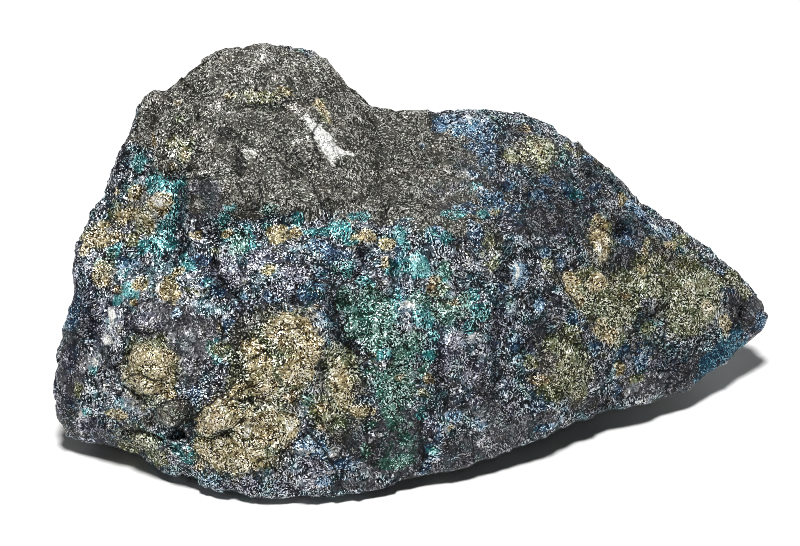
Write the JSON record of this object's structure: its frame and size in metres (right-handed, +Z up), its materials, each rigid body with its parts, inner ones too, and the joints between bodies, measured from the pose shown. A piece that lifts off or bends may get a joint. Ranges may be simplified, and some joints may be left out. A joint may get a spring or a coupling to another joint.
{
  "type": "peacock ore specimen",
  "caption": "Broken hand-sized lump of iridescent copper ore with a steep left end, a grey peak and an overhanging right tip; it rests on a small flat spot.",
  "frame": {"origin": "middle of the bounding box, on the plane that the lump rests on", "axes": "+X along the lump from the steep left end to the overhanging right tip, -Y out of the broad tarnished face, +Z up"},
  "size_m": [0.0964, 0.0546, 0.0462],
  "materials": {
    "tarnished_ore": "granular, dark metallic sulphide with blue, teal, violet and gold tarnish patches, dull grey rock on the upper left and a small vein of white quartz"
  },
  "bodies": {
    "root": {"peacock_ore": "tarnished_ore"}
  },
  "joints": []
}
